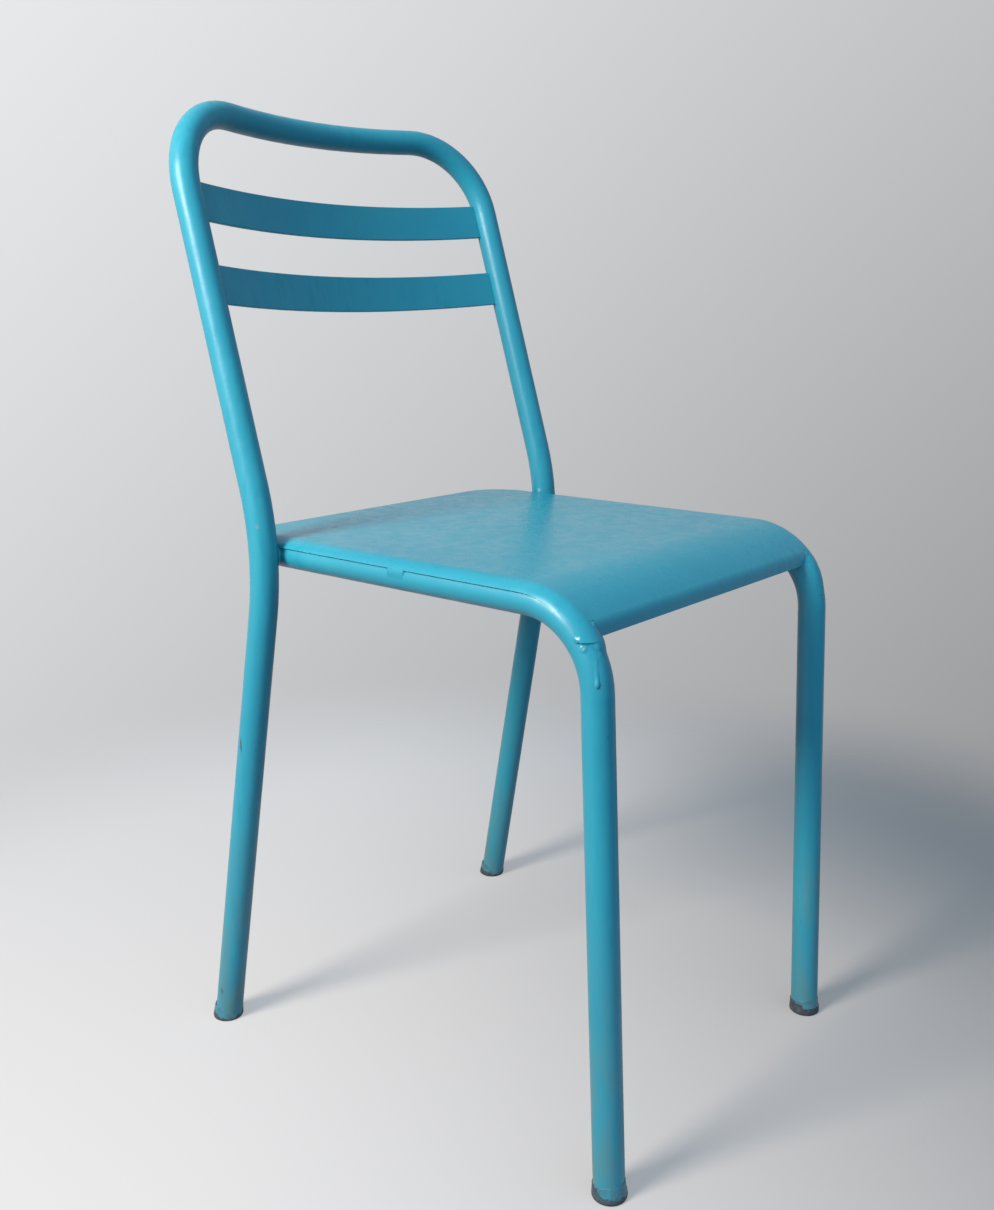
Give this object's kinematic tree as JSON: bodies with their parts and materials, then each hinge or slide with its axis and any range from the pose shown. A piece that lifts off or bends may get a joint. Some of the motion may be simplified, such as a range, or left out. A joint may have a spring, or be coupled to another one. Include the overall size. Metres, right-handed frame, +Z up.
{
  "type": "garden chair",
  "caption": "Rigid steel garden chair: bent-tube back hoop and seat frame, sheet seat with rolled edges and turned-down front, bowed back slats and ferruled feet.",
  "frame": {"origin": "on the floor, under the middle of the chair's overall width and depth", "axes": "+Z up, the chair faces -Y (front feet at -Y, back at +Y), +X across the seat"},
  "size_m": [0.4076, 0.4918, 0.8231],
  "materials": {
    "paint": "gloss turquoise brush paint on steel, chipped and worn",
    "ferrule": "worn dark ferrule with paint over its top edge"
  },
  "bodies": {
    "root": {"back_hoop": "paint", "seat_frame": "paint", "seat_panel": "paint", "upper_slat": "paint", "lower_slat": "paint", "left_rail_weld": "paint", "right_rail_weld": "paint", "upper_left_slat_weld": "paint", "upper_right_slat_weld": "paint", "lower_left_slat_weld": "paint", "lower_right_slat_weld": "paint", "left_seat_tack": "paint", "right_seat_tack": "paint", "rear_seat_tack": "paint", "left_corner_weld": "paint", "right_corner_weld": "paint", "front_left_foot": "ferrule", "front_right_foot": "ferrule", "rear_left_foot": "ferrule", "rear_right_foot": "ferrule"}
  },
  "joints": []
}
